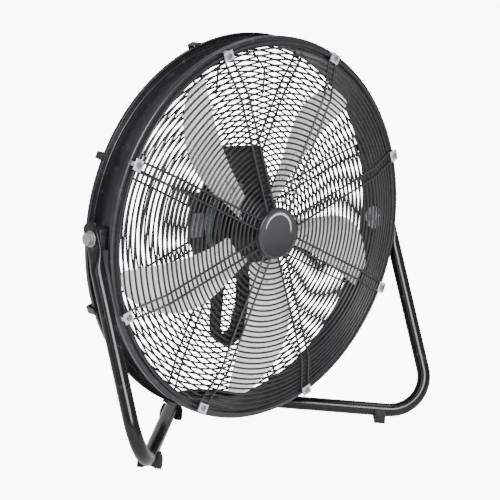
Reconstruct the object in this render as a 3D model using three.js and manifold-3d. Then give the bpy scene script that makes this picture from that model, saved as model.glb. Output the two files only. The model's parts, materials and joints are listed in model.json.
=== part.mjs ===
// High-velocity drum floor fan on a bent-tube stand. Millimetres, +Z up, front towards -Y.
// Lengths inside the fan group are measured from the front rim's centre: X to the right,
// Y back along the drum's axis, Z up. The group then stands the part on its floor.

import * as THREE from 'three';
import { mergeVertices } from 'three/addons/utils/BufferGeometryUtils.js';
import Module from 'manifold-3d';

const wasm = await Module();
wasm.setup();

// Driving dimensions
const axisHeight = 299.5;            // drum axis above the floor
const floorCentreDepth = 32.11;    // middle of the floor outline behind the front rim
const gap = 0.3;                   // between pieces that touch

const rimRadius = 275;
const wallRadius = 262;
const sheet = 2;
const drumDepth = 60;
const lipDepth = 8;

const pivotDepth = 30;             // pivots sit halfway along the drum
const tabMiddle = 284;             // flattened tube end, from the drum's axis
const uprightTop = 286;            // tube centre where its round part begins
const standHalfWidth = 284;        // tube centre at the front corners
const tubeRadius = 10;
const tubeWall = 1.4;
const bendRadius = 52;
const frontCornerDepth = -104;
const rearCornerDepth = 165;
const tubeAboveFloor = 17.5;
const tubeStart = 30;              // round tube begins this far below the pivot
const tabThickness = 4;
const footLength = 17;
const footFromCorner = 82;
const rearFootFromCorner = 76;

const boltRadius = 5;
const boltClearance = 0.3;

const guardWire = 3;
const guardFlatRadius = 207;
const guardEdgeRadius = 257;
const guardOuterRadius = 267;
const frontGuardDepth = -21;
const frontGuardEdge = -7;
const rearGuardDepth = 71.5;
const rearGuardEdge = 64.5;
const spokeCount = 8;
const spokeStart = 22.5;           // degrees from +X to the first spoke

const bladeCount = 5;
const firstBladeAngle = 55;
const bladeMidDepth = 16.7;
const bladeRoot = 50;
const bladeTip = 244;
const bladeThickness = 2;
const rootPitch = 33;
const tipPitch = 5;
const bladeCamber = 5;

const shaftRadius = 6;
const motorRadius = 58;
const plateFront = 66.5;
const plateThickness = 2;

const housingFront = 98.3;
const housingBack = 118;
const housingHalfWidth = 46;
const housingHalfHeight = 38;

const cordRadius = 3.5;
const cordX = 36;
const cordY = 110.4;
const cordBend = 28;
const glandTip = -58;
const hankCentreX = 24;
const hankRadius = 32.5;
const hankEye = 17.7;
const hankTop = -99;               // centre of the hank's top fold
const hankBottom = -159;           // centre of its bottom fold
const hankFront = 76;
const hankBack = 106.5;
const plugX = 78;
const plugY = 101;
const plugTop = -170;

const degrees = Math.PI / 180;

// Materials
const finish = (color, roughness, metalness) => {
  return new THREE.MeshStandardMaterial({ color, roughness, metalness });
};
const blackPaint = () => finish(0x17171a, 0.38, 0.2);
const blackWire = () => finish(0x1c1c20, 0.45, 0.3);
const rubber = () => finish(0x121212, 0.8, 0);
const blackPlastic = () => finish(0x1a1a1c, 0.55, 0);
const zinc = () => finish(0xc9ced2, 0.35, 0.9);
const aluminium = () => finish(0xc4c6c8, 0.3, 0.9);
const steel = () => finish(0x6d7272, 0.5, 0.8);

// Geometry helpers

function signedVolume(geometry) {
  const flat = geometry.index ? geometry.toNonIndexed() : geometry;
  const p = flat.getAttribute('position');
  const a = new THREE.Vector3();
  const b = new THREE.Vector3();
  const c = new THREE.Vector3();
  let sum = 0;
  for (let i = 0; i < p.count; i += 3) {
    a.fromBufferAttribute(p, i);
    b.fromBufferAttribute(p, i + 1);
    c.fromBufferAttribute(p, i + 2);
    sum += a.dot(b.cross(c)) / 6;
  }
  return sum;
}

// One closed, indexed mesh with its faces pointing out.
function closed(geometry) {
  const bare = geometry.clone();
  bare.deleteAttribute('normal');
  bare.deleteAttribute('uv');
  const merged = mergeVertices(bare, 1e-3);
  if (signedVolume(merged) > 0) return merged;
  const index = merged.index.array;
  for (let i = 0; i < index.length; i += 3) {
    const first = index[i];
    index[i] = index[i + 1];
    index[i + 1] = first;
  }
  return merged;
}

function solid(geometry) {
  const mesh = closed(geometry);
  const vertProperties = new Float32Array(mesh.getAttribute('position').array);
  const triVerts = new Uint32Array(mesh.index.array);
  return new wasm.Manifold(new wasm.Mesh({ numProp: 3, vertProperties, triVerts }));
}

function geometryOf(manifold) {
  const mesh = manifold.getMesh();
  const geometry = new THREE.BufferGeometry();
  geometry.setAttribute('position', new THREE.BufferAttribute(new Float32Array(mesh.vertProperties), 3));
  geometry.setIndex(new THREE.BufferAttribute(new Uint32Array(mesh.triVerts), 1));
  return geometry;
}

function join(...geometries) {
  return geometryOf(geometries.map(solid).reduce((whole, piece) => whole.add(piece)));
}

function cut(geometry, ...tools) {
  return geometryOf(tools.map(solid).reduce((whole, tool) => whole.subtract(tool), solid(geometry)));
}

// A solid of revolution about the drum's axis, from [radius, depth] corners of a closed outline.
function turned(outline, sides) {
  const points = [...outline, outline[0]].map(([radius, depth]) => new THREE.Vector2(radius, depth));
  return new THREE.LatheGeometry(points, sides);
}

function ring(inner, outer, front, back, sides) {
  return turned([[inner, front], [outer, front], [outer, back], [inner, back]], sides);
}

// A solid of revolution about Z, from [radius, height] points that start and end on the axis.
function spindle(outline, sides) {
  const points = outline.map(([radius, height]) => new THREE.Vector2(radius, height));
  return new THREE.LatheGeometry(points, sides).rotateX(Math.PI / 2);
}

function rodAlongX(radius, from, to, sides) {
  const rod = new THREE.CylinderGeometry(radius, radius, Math.abs(to - from), sides);
  return rod.rotateZ(Math.PI / 2).translate((from + to) / 2, 0, 0);
}

function rodAlongY(radius, from, to, sides) {
  const rod = new THREE.CylinderGeometry(radius, radius, Math.abs(to - from), sides);
  return rod.translate(0, (from + to) / 2, 0);
}

function box(low, high) {
  const size = high.map((value, axis) => value - low[axis]);
  const middle = high.map((value, axis) => (value + low[axis]) / 2);
  return new THREE.BoxGeometry(...size).translate(...middle);
}

// A flat outline in X and Z, given a thickness along Y.
function slab(shape, front, back, curveSegments = 8) {
  const options = { depth: back - front, bevelEnabled: false, curveSegments };
  return new THREE.ExtrudeGeometry(shape, options).rotateX(Math.PI / 2).translate(0, back, 0);
}

// A flat outline in radius and depth, given a width across and turned to its angle on the drum.
function spoke(corners, width, angle) {
  const shape = new THREE.Shape(corners.map(([radius, depth]) => new THREE.Vector2(radius, depth)));
  const strip = new THREE.ExtrudeGeometry(shape, { depth: width, bevelEnabled: false });
  return strip.translate(0, 0, -width / 2).rotateY(-angle * degrees);
}

function spokeAngles() {
  return Array.from({ length: spokeCount }, (_, i) => spokeStart + (360 / spokeCount) * i);
}

// Straight runs joined by round bends; each station is a place and a direction.
class BentLine extends THREE.Curve {
  constructor(corners, radius, bendSteps) {
    super();
    this.stations = [{ at: corners[0], along: corners[1].clone().sub(corners[0]).normalize() }];
    for (let i = 1; i < corners.length - 1; i += 1) {
      const inward = corners[i].clone().sub(corners[i - 1]).normalize();
      const outward = corners[i + 1].clone().sub(corners[i]).normalize();
      const turn = inward.angleTo(outward);
      const start = corners[i].clone().addScaledVector(inward, -radius * Math.tan(turn / 2));
      const side = outward.clone().addScaledVector(inward, -outward.dot(inward)).normalize();
      for (let step = 0; step <= bendSteps; step += 1) {
        const angle = (turn * step) / bendSteps;
        const at = start.clone();
        at.addScaledVector(inward, radius * Math.sin(angle));
        at.addScaledVector(side, radius * (1 - Math.cos(angle)));
        const along = inward.clone().multiplyScalar(Math.cos(angle)).addScaledVector(side, Math.sin(angle));
        this.stations.push({ at, along });
      }
    }
    const last = corners.length - 1;
    const finish = corners[last].clone().sub(corners[last - 1]).normalize();
    this.stations.push({ at: corners[last], along: finish });
  }

  nearest(fraction) {
    return this.stations[Math.round(fraction * (this.stations.length - 1))];
  }

  getPoint(fraction, target = new THREE.Vector3()) {
    return target.copy(this.nearest(fraction).at);
  }

  getPointAt(fraction, target) {
    return this.getPoint(fraction, target);
  }

  getTangent(fraction, target = new THREE.Vector3()) {
    return target.copy(this.nearest(fraction).along);
  }

  getTangentAt(fraction, target) {
    return this.getTangent(fraction, target);
  }
}

function circle(radius, sides) {
  const points = Array.from({ length: sides }, (_, i) => {
    const angle = (2 * Math.PI * i) / sides;
    return new THREE.Vector2(radius * Math.cos(angle), radius * Math.sin(angle));
  });
  return new THREE.Shape(points);
}

// Parts of the part

const fan = new THREE.Group();
fan.position.set(0, -floorCentreDepth, axisHeight);

function place(name, geometry, material) {
  const mesh = new THREE.Mesh(closed(geometry), material);
  mesh.name = name;
  fan.add(mesh);
}

// Stand: one tube from pivot to pivot, by way of two front corners and a corner behind

const tubeHeight = tubeAboveFloor - axisHeight;
const uprightFall = new THREE.Vector3(0, frontCornerDepth - pivotDepth, tubeHeight).normalize();

function pivotTab(side) {
  const shape = new THREE.Shape();
  shape.moveTo(-8, -tubeStart - 14);
  shape.lineTo(8, -tubeStart - 14);
  shape.lineTo(14, -14);
  shape.lineTo(14, 16);
  shape.absarc(8, 16, 6, 0, Math.PI / 2, false);
  shape.absarc(-8, 16, 6, Math.PI / 2, Math.PI, false);
  shape.lineTo(-14, -14);
  const hole = circle(boltRadius + boltClearance, 16);
  shape.holes.push(hole);
  const options = { depth: tabThickness, bevelEnabled: false, curveSegments: 8 };
  const tab = new THREE.ExtrudeGeometry(shape, options).translate(0, 0, -tabThickness / 2);
  const up = uprightFall.clone().negate();
  const across = new THREE.Vector3(1, 0, 0);
  const turn = new THREE.Matrix4().makeBasis(up.clone().cross(across), up, across);
  return tab.applyMatrix4(turn).translate(side * tabMiddle, pivotDepth, 0);
}

function standTube() {
  const pivot = (side) => new THREE.Vector3(side * uprightTop, pivotDepth, 0);
  const top = (side) => pivot(side).addScaledVector(uprightFall, tubeStart);
  const corner = (side) => new THREE.Vector3(side * standHalfWidth, frontCornerDepth, tubeHeight);
  const back = new THREE.Vector3(0, rearCornerDepth, tubeHeight);
  const line = new BentLine([top(-1), corner(-1), back, corner(1), top(1)], bendRadius, 8);
  const section = circle(tubeRadius, 12);
  section.holes.push(circle(tubeRadius - tubeWall, 12));
  const steps = line.stations.length - 1;
  const tube = new THREE.ExtrudeGeometry(section, { steps, bevelEnabled: false, extrudePath: line });
  return join(tube, pivotTab(-1), pivotTab(1));
}

// A saddle clip around the underside of the tube, standing on two lugs.
function foot() {
  const grooveRadius = tubeRadius + 0.4;
  const shape = new THREE.Shape();
  shape.moveTo(-16.5, -tubeAboveFloor);
  shape.lineTo(-8.5, -tubeAboveFloor);
  shape.quadraticCurveTo(0, 6 - tubeAboveFloor, 8.5, -tubeAboveFloor);
  shape.lineTo(16.5, -tubeAboveFloor);
  shape.lineTo(16.5, -6);
  shape.lineTo(13.5, 2.8);
  const lip = Math.asin(2.8 / grooveRadius);
  shape.absarc(0, 0, grooveRadius, lip, Math.PI - lip, true);
  shape.lineTo(-13.5, 2.8);
  shape.lineTo(-16.5, -6);
  return slab(shape, -footLength / 2, footLength / 2);
}

function feet() {
  const run = new THREE.Vector2(standHalfWidth, rearCornerDepth - frontCornerDepth);
  const length = run.length();
  const turn = Math.atan2(run.x, run.y);
  run.normalize();
  for (const [end, along] of [['front', footFromCorner], ['rear', length - rearFootFromCorner]]) {
    for (const [name, side] of [['left', -1], ['right', 1]]) {
      const x = side * (standHalfWidth - run.x * along);
      const y = frontCornerDepth + run.y * along;
      place(`foot_${end}_${name}`, foot().rotateZ(side * turn).translate(x, y, tubeHeight), rubber());
    }
  }
}

// Pivots: bolt, washers, spacer block and nut at each side of the drum

function pivots() {
  const tabOuter = tabMiddle + tabThickness / 2;
  const tabInner = tabMiddle - tabThickness / 2;
  const washerOuter = tabOuter + gap + 1.6;
  const headInner = washerOuter + gap;
  const hole = boltRadius + boltClearance;
  for (const [name, side] of [['left', -1], ['right', 1]]) {
    const at = (geometry) => geometry.translate(0, pivotDepth, 0);
    const rod = (radius, from, to, sides) => at(rodAlongX(radius, side * from, side * to, sides));
    const washer = cut(rod(11, tabOuter + gap, washerOuter, 20), rod(hole, 280, 300, 16));
    place(`pivot_washer_${name}`, washer, zinc());
    const bolt = join(rod(9.2, headInner, headInner + 6.4, 6), rod(boltRadius, 247.5, headInner + 1, 16));
    place(`pivot_bolt_${name}`, bolt, zinc());
    const span = [side * (wallRadius + 0.5), side * (tabInner - gap)].sort((a, b) => a - b);
    const blank = box([span[0], pivotDepth - 13, -14], [span[1], pivotDepth + 13, 14]);
    place(`pivot_block_${name}`, cut(blank, rod(hole, 255, 290, 16)), blackPlastic());
    const inner = cut(rod(17.5, 256.4, 258.4, 24), rod(hole, 250, 262, 16));
    place(`inner_washer_${name}`, inner, zinc());
    const nut = cut(rod(9.2, 249.6, 256.1, 6), rod(hole, 240, 262, 16));
    place(`pivot_nut_${name}`, nut, zinc());
  }
}

// Drum: a rolled band with an outward flange and a turned lip at both ends

function drumShell() {
  const innerRadius = wallRadius - sheet;
  const lipInner = rimRadius - sheet;
  const band = turned([
    [innerRadius, 0],
    [rimRadius, 0],
    [rimRadius, lipDepth],
    [lipInner, lipDepth],
    [lipInner, sheet],
    [wallRadius, sheet],
    [wallRadius, drumDepth - sheet],
    [lipInner, drumDepth - sheet],
    [lipInner, drumDepth - lipDepth],
    [rimRadius, drumDepth - lipDepth],
    [rimRadius, drumDepth],
    [innerRadius, drumDepth],
  ], 48);
  const hole = rodAlongX(boltRadius + boltClearance, -290, 290, 16).translate(0, pivotDepth, 0);
  return cut(band, hole);
}

// Guards: rings and spokes, flat in the middle and turned towards the drum at the edge

function guard(flat, edge, ringRadii, innerRadius) {
  const depthAt = (radius) => {
    const share = (radius - guardFlatRadius) / (guardEdgeRadius - guardFlatRadius);
    return flat + (edge - flat) * Math.min(1, Math.max(0, share));
  };
  const half = guardWire / 2;
  const rings = ringRadii.map((radius) => {
    const depth = depthAt(radius);
    return ring(radius - half, radius + half, depth - half, depth + half, 24);
  });
  const bends = [innerRadius, guardFlatRadius, guardEdgeRadius, guardOuterRadius];
  const side = (offset) => bends.map((radius) => [radius, depthAt(radius) + offset]);
  const corners = [...side(-half * 0.8), ...side(half * 0.8).reverse()];
  const spokes = spokeAngles().map((angle) => spoke(corners, 4, angle));
  return join(...rings, ...spokes);
}

function frontClip(angle) {
  const face = frontGuardEdge - guardWire / 2 - gap;
  return spoke([
    [274.5, -gap],
    [274.5, face - 1.6],
    [259, face - 1.6],
    [259, face],
    [269.5, face],
    [269.5, -gap],
  ], 16, angle);
}

function rearClip(angle) {
  const face = rearGuardEdge + guardWire / 2 + gap;
  return spoke([
    [260, face],
    [269.5, face],
    [269.5, drumDepth + gap],
    [rimRadius + gap, drumDepth + gap],
    [rimRadius + gap, drumDepth - 9],
    [rimRadius + 3, drumDepth - 9],
    [rimRadius + 3, face + 1.6],
    [260, face + 1.6],
  ], 10, angle);
}

function guards() {
  const frontRings = [44, 100, 155, guardFlatRadius, guardOuterRadius];
  place('front_guard', guard(frontGuardDepth, frontGuardEdge, frontRings, 24), blackWire());
  const rearRings = [90, 148, guardFlatRadius, guardOuterRadius];
  place('rear_guard', guard(rearGuardDepth, rearGuardEdge, rearRings, 88.5), blackWire());
  spokeAngles().forEach((angle, i) => {
    place(`front_clip_${i + 1}`, frontClip(angle), zinc());
    place(`rear_clip_${i + 1}`, rearClip(angle), blackPaint());
  });
  const badgeBack = frontGuardDepth - guardWire / 2 - gap;
  const badge = new THREE.LatheGeometry([
    new THREE.Vector2(0, badgeBack - 3.5),
    new THREE.Vector2(30, badgeBack - 3.5),
    new THREE.Vector2(31, badgeBack - 4.5),
    new THREE.Vector2(34, badgeBack - 4.5),
    new THREE.Vector2(35, badgeBack - 3.5),
    new THREE.Vector2(35, badgeBack),
    new THREE.Vector2(0, badgeBack),
  ], 32);
  place('hub_badge', badge, blackPlastic());
}

// Rotor: spider, blades, shaft, rotor core and nut

// The two long edges of a blade, each a cubic in the share of the way from root to tip.
const leadingEdge = [36, 29, 142, -207];
const trailingEdge = [9.5, -37, 101, -38];

function bladeSpan(radius) {
  const share = (radius - bladeRoot) / (bladeTip - bladeRoot);
  const reach = (edge) => edge.reduce((sum, factor, power) => sum + factor * share ** power, 0);
  return [-reach(trailingEdge), reach(leadingEdge)];
}

// A point on a blade: across its chord, out along its radius and off its face.
function bladePoint(across, radius, lift, angle) {
  const share = (radius - bladeRoot) / (bladeTip - bladeRoot);
  const pitch = (rootPitch + (tipPitch - rootPitch) * share) * degrees;
  const [low, high] = bladeSpan(radius);
  const offCentre = (2 * across - low - high) / (high - low);
  const bow = bladeCamber * (1 - offCentre ** 2) + lift;
  const around = across * Math.cos(pitch) + bow * Math.sin(pitch);
  const depth = bladeMidDepth - across * Math.sin(pitch) + bow * Math.cos(pitch);
  const turn = angle * degrees + around / radius;
  return [radius * Math.cos(turn), depth, radius * Math.sin(turn)];
}

// A thin plate that follows the blade's surface between two radii.
function bladeSheet(angle, from, to, span, thickness, offset, columns, rows) {
  const plate = new THREE.BoxGeometry(1, 1, 1, columns, 1, rows);
  const p = plate.getAttribute('position');
  for (let i = 0; i < p.count; i += 1) {
    const radius = from + (to - from) * (p.getZ(i) + 0.5);
    const [low, high] = span(radius);
    const across = low + (high - low) * (p.getX(i) + 0.5);
    const lift = offset + p.getY(i) * thickness;
    p.setXYZ(i, ...bladePoint(across, radius, lift, angle));
  }
  return plate;
}

function rotor() {
  const angles = Array.from({ length: bladeCount }, (_, i) => firstBladeAngle + (360 / bladeCount) * i);
  angles.forEach((angle, i) => {
    const blade = bladeSheet(angle, bladeRoot, bladeTip, bladeSpan, bladeThickness, 0, 6, 12);
    place(`blade_${i + 1}`, blade, aluminium());
  });
  const armThickness = 2.4;
  const armOffset = (bladeThickness + armThickness) / 2 + gap;
  const arms = angles.map((angle) => bladeSheet(angle, 38, 104, () => [-1, 27], armThickness, armOffset, 4, 5));
  const bore = shaftRadius + gap;
  const disc = ring(bore, 46, 19, 22.5, 30);
  const boss = ring(bore, 14, 8, 33, 30);
  place('blade_spider', join(disc, boss, ...arms), blackPaint());
  place('shaft', rodAlongY(shaftRadius, -4, 97, 16), steel());
  place('rotor_core', ring(bore, 36.5, 50, 65, 28), steel());
  place('hub_nut', cut(rodAlongY(9.5, 1, 7.7, 6), rodAlongY(bore, 0, 9, 16)), zinc());
}

// Motor: end bells, stack and bearings, clamped to a plate in the rear guard's plane

function motorPlate() {
  const shape = new THREE.Shape();
  const shoulder = 35 * degrees;
  shape.absarc(0, 0, 85, shoulder, Math.PI - shoulder, true);
  shape.absarc(-34, 100, 12, 160 * degrees, Math.PI / 2, true);
  shape.absarc(34, 100, 12, Math.PI / 2, 20 * degrees, true);
  shape.holes.push(circle(38.5, 28));
  return slab(shape, plateFront, plateFront + plateThickness, 12);
}

function motor() {
  const bearing = 12;
  place('motor_front_bell', turned([
    [bearing, 39.5],
    [48, 39.5],
    [motorRadius, 43.5],
    [motorRadius, 50],
    [54, 50],
    [54, 46],
    [47, 42.5],
    [16, 42.5],
    [16, 47],
    [bearing, 47],
  ], 24), blackPaint());
  place('stator_stack', ring(37.5, motorRadius - 1, 50 + gap, plateFront - gap, 24), steel());
  place('motor_plate', motorPlate(), blackPaint());
  const bellFront = plateFront + plateThickness + gap;
  place('motor_rear_bell', turned([
    [54, bellFront],
    [motorRadius, bellFront],
    [motorRadius, 92],
    [50, 98],
    [bearing, 98],
    [bearing, 89],
    [16, 89],
    [16, 94.5],
    [48, 94.5],
    [54, 90],
  ], 24), blackPaint());
  place('bearing_front', ring(shaftRadius + gap, bearing - gap, 40, 46, 20), steel());
  place('bearing_rear', ring(shaftRadius + gap, bearing - gap, 90, 97, 20), steel());
}

function capacitor() {
  const back = plateFront - gap;
  const shell = cut(box([-33, 50, 62], [33, back, 104]), box([-31, 52, 64], [31, back + 5, 102]));
  place('capacitor_box', shell, blackPlastic());
  place('capacitor', box([-23, 53, 67], [23, back - 1, 98]), blackPlastic());
}

// Controls: a switch housing on the rear bell, its switch and its knob

function controls() {
  const wall = 2.2;
  const x = housingHalfWidth;
  const z = housingHalfHeight;
  const outer = box([-x, housingFront, -z], [x, housingBack, z]);
  const inner = box([wall - x, housingFront - 5, wall - z], [x - wall, housingBack - wall, z - wall]);
  const stemHole = rodAlongY(4.7, housingBack - 5, housingBack + 5, 16);
  place('switch_housing', cut(outer, inner, stemHole), blackPlastic());
  place('rotary_switch', box([-15, 101, -15], [15, 112.5, 15]), blackPlastic());
  const front = housingBack + gap;
  const dial = turned([[0, front], [17, front], [15, housingBack + 9], [0, housingBack + 9]], 24);
  const skirt = rodAlongY(19, front, housingBack + 4, 24);
  const stem = rodAlongY(4.2, 113, housingBack + 2, 12);
  const grip = box([-3, housingBack + 5, -15.5], [3, housingBack + 15, 15.5]);
  place('speed_knob', join(dial, skirt, stem, grip), blackPlastic());
}

// Cord: strain relief, the lead into the hank, the tied hank and the plug

function cordParts() {
  const top = -housingHalfHeight - gap;
  const taper = [[0, glandTip], [5, glandTip], [6.5, top - 3]];
  const collar = [[7.5, top - 3], [7.5, top], [0, top]];
  const relief = spindle([...taper, ...collar], 16);
  place('cord_strain_relief', relief.translate(cordX, cordY, 0), rubber());
  const at = (x, z) => new THREE.Vector3(x, cordY, z);
  const slack = [at(cordX, -78.6), at(70, -94.4), at(70, -127.9), at(45.5, -145.1)];
  const route = [at(cordX, glandTip - gap), ...slack, at(45.5, -160.5)];
  const line = new BentLine(route, cordBend, 4);
  const steps = line.stations.length - 1;
  const lead = { steps, bevelEnabled: false, extrudePath: line };
  place('cord', new THREE.ExtrudeGeometry(circle(cordRadius, 8), lead), rubber());
  const stadium = (radius) => {
    const outline = new THREE.Shape();
    outline.absarc(hankCentreX, hankTop, radius, 0, Math.PI, false);
    return outline.absarc(hankCentreX, hankBottom, radius, Math.PI, 2 * Math.PI, false);
  };
  const bundle = stadium(hankRadius);
  bundle.holes.push(stadium(hankEye));
  place('cord_hank', slab(bundle, hankFront, hankBack, 12), rubber());
  const fold = [hankTop + hankEye - gap - 0.5, hankTop + hankRadius + gap];
  const band = (spread, halfWidth) => {
    const low = [hankCentreX - halfWidth, hankFront - gap - spread, fold[0] - spread];
    const high = [hankCentreX + halfWidth, hankBack + gap + spread, fold[1] + spread];
    return box(low, high);
  };
  place('hank_tie', cut(band(2, 4), band(0, 8)), blackPlastic());
  place('plug', plug().translate(plugX, plugY, plugTop), rubber());
}

function plug() {
  const boot = spindle([[0, -18], [7.5, -18], [3.8, 0], [0, 0]], 12);
  const body = box([-12, -9.5, -43], [12, 9.5, -17]);
  const blades = [-6.35, 6.35].map((x) => box([x - 0.8, -1, -59], [x + 0.8, 5.3, -42]));
  const pin = new THREE.CylinderGeometry(2.4, 2.4, 19, 10).rotateX(Math.PI / 2);
  return join(boot, body, ...blades, pin.translate(0, -6.5, -51.5));
}

place('stand_tube', standTube(), blackPaint());
feet();
pivots();
place('drum_shell', drumShell(), blackPaint());
guards();
rotor();
motor();
capacitor();
controls();
cordParts();

export default fan;
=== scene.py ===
"""Looks of the drum floor fan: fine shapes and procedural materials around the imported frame.

Shapes are made in millimetres from the centre of the drum's front rim: X to the right, Y back along
the drum's axis, Z up. build() turns them into metres in the row's frame.
"""

import json
import math
import random

import bmesh
import bpy
from mathutils import Matrix, Vector

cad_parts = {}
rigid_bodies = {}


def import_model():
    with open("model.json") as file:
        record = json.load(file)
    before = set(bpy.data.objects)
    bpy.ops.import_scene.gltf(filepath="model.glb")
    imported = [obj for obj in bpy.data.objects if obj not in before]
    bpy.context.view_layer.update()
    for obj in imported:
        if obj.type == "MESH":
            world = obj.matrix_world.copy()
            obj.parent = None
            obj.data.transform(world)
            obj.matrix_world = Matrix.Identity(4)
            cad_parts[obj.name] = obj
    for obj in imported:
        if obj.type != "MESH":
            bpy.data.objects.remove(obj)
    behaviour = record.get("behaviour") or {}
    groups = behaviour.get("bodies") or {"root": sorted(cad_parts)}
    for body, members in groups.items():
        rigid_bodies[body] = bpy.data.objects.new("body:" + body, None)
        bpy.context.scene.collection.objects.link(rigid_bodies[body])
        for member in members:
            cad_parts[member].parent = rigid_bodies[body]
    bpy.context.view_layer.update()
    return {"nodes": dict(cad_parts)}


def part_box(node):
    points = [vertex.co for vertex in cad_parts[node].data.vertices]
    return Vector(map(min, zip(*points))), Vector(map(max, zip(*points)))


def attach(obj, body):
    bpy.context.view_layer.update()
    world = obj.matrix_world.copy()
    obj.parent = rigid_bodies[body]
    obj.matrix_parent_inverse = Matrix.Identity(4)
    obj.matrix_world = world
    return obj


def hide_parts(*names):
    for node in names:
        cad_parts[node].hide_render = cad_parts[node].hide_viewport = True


for leftover in list(bpy.data.objects):
    bpy.data.objects.remove(leftover)

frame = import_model()
drum_low, drum_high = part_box("drum_shell")
ORIGIN = Vector((0, drum_low.y, (drum_low.z + drum_high.z) / 2))
MM = 0.001
TO_ROW = Matrix.Translation(ORIGIN) @ Matrix.Scale(MM, 4)
chance = random.Random(20)


def row(x, y, z):
    """A place in the row's frame, in metres."""
    return TO_ROW @ Vector((x, y, z))


# ---------------------------------------------------------------- materials

NOISE_LOW, NOISE_HIGH = 0.3, 0.7
SCUFF_LOW, SCUFF_HIGH, SCUFF_SCALE = 0.6, 0.7, 85
DUST_COLOUR, DUST_SCALE, DUST_FROM_SLOPE = (0.32, 0.31, 0.3), 60, 0.35
LEAST_ROUGHNESS = 0.02


def material(
    name,
    colour,
    metallic=0.0,
    roughness=0.5,
    mottle=0.12,
    mottle_scale=18,
    rough_spread=0.08,
    rough_scale=90,
    grain=0.00002,
    grain_scale=900,
    stretch=(1, 1, 1),
    dust=0.0,
    scuffs=0.0,
    scuff_colour=(0.1, 0.1, 0.105),
    ior=1.5,
):
    """A metal, paint or plastic with uneven colour, uneven gloss and a fine surface relief."""
    made = bpy.data.materials.new(name)
    made.use_nodes = True
    nodes, link = made.node_tree.nodes, made.node_tree.links.new
    shader = nodes["Principled BSDF"]
    shader.inputs["Metallic"].default_value = metallic
    shader.inputs["IOR"].default_value = ior
    where = nodes.new("ShaderNodeTexCoord")
    mapping = nodes.new("ShaderNodeMapping")
    mapping.inputs["Scale"].default_value = stretch
    link(where.outputs["Object"], mapping.inputs["Vector"])

    def noise(scale, detail):
        node = nodes.new("ShaderNodeTexNoise")
        node.inputs["Scale"].default_value = scale
        node.inputs["Detail"].default_value = detail
        link(mapping.outputs["Vector"], node.inputs["Vector"])
        return node.outputs[0]

    ramp = nodes.new("ShaderNodeValToRGB")
    ramp.color_ramp.elements[0].position = NOISE_LOW
    ramp.color_ramp.elements[1].position = NOISE_HIGH
    ramp.color_ramp.elements[0].color = [c * (1 - mottle) for c in colour] + [1]
    ramp.color_ramp.elements[1].color = [min(1, c * (1 + mottle)) for c in colour] + [1]
    link(noise(mottle_scale, 5), ramp.inputs["Fac"])
    paint = ramp.outputs["Color"]

    def cover(under, factor, over):
        """Another colour laid over the paint as far as the factor says."""
        mix = nodes.new("ShaderNodeMix")
        mix.data_type = "RGBA"
        link(factor, mix.inputs["Factor"])
        link(under, mix.inputs["A"])
        mix.inputs["B"].default_value = (*over, 1)
        return mix.outputs["Result"]

    if scuffs:
        marks = nodes.new("ShaderNodeMapRange")
        marks.inputs["From Min"].default_value = SCUFF_LOW
        marks.inputs["From Max"].default_value = SCUFF_HIGH
        marks.inputs["To Max"].default_value = scuffs
        link(noise(SCUFF_SCALE, 9), marks.inputs["Value"])
        paint = cover(paint, marks.outputs["Result"], scuff_colour)
    if dust:
        facing = nodes.new("ShaderNodeNewGeometry")
        upward = nodes.new("ShaderNodeSeparateXYZ")
        link(facing.outputs["Normal"], upward.inputs["Vector"])
        level = nodes.new("ShaderNodeMapRange")
        level.inputs["From Min"].default_value = DUST_FROM_SLOPE
        level.inputs["To Max"].default_value = dust
        link(upward.outputs["Z"], level.inputs["Value"])
        patchy = nodes.new("ShaderNodeMath")
        patchy.operation = "MULTIPLY"
        link(level.outputs["Result"], patchy.inputs[0])
        link(noise(DUST_SCALE, 6), patchy.inputs[1])
        paint = cover(paint, patchy.outputs["Value"], DUST_COLOUR)
    link(paint, shader.inputs["Base Color"])
    gloss = nodes.new("ShaderNodeMapRange")
    gloss.inputs["From Min"].default_value = NOISE_LOW
    gloss.inputs["From Max"].default_value = NOISE_HIGH
    gloss.inputs["To Min"].default_value = max(LEAST_ROUGHNESS, roughness - rough_spread)
    gloss.inputs["To Max"].default_value = min(1, roughness + rough_spread)
    link(noise(rough_scale, 4), gloss.inputs["Value"])
    link(gloss.outputs["Result"], shader.inputs["Roughness"])
    bump = nodes.new("ShaderNodeBump")
    bump.inputs["Strength"].default_value = 1
    bump.inputs["Distance"].default_value = grain
    link(noise(grain_scale, 3), bump.inputs["Height"])
    link(bump.outputs["Normal"], shader.inputs["Normal"])
    return made


FINE = {"grain": 0.00001, "grain_scale": 900}
PAINT = material(
    "powder_coat", (0.009, 0.009, 0.012), 0, 0.33, 0.2, 14, 0.06, 70, 0.00003, 700, dust=0.02, scuffs=0.18
)
GLOSS = material(
    "gloss_tube", (0.003, 0.003, 0.004), 0, 0.22, 0.2, 12, 0.05, 60, 0.00001, 400, scuffs=0.2, ior=1.36
)
WIRE = material("wire_coat", (0.007, 0.007, 0.008), 0, 0.35, 0.2, 40, 0.08, 120, **FINE, scuffs=0.1)
ZINC = material("zinc_plate", (0.55, 0.6, 0.63), 0.75, 0.34, 0.1, 160, 0.1, 200, **FINE)
DULL_ZINC = material("dull_zinc", (0.3, 0.32, 0.34), 0.8, 0.4, 0.12, 160, 0.1, 200, **FINE)
ALLOY = material(
    "blade_sheet", (0.95, 0.955, 0.96), 0.2, 0.36, 0.06, 22, 0.08, 60, 0.00001, 500,
    stretch=(1, 4, 1), scuffs=0.15, scuff_colour=(0.5, 0.49, 0.48),
)
RIVET = material("rivet_alloy", (0.55, 0.56, 0.57), 0.9, 0.35, 0.1, 120, 0.08, 160, **FINE)
STEEL = material("machined_steel", (0.2, 0.205, 0.21), 0.9, 0.42, 0.15, 60, 0.1, 150, **FINE)
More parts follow.
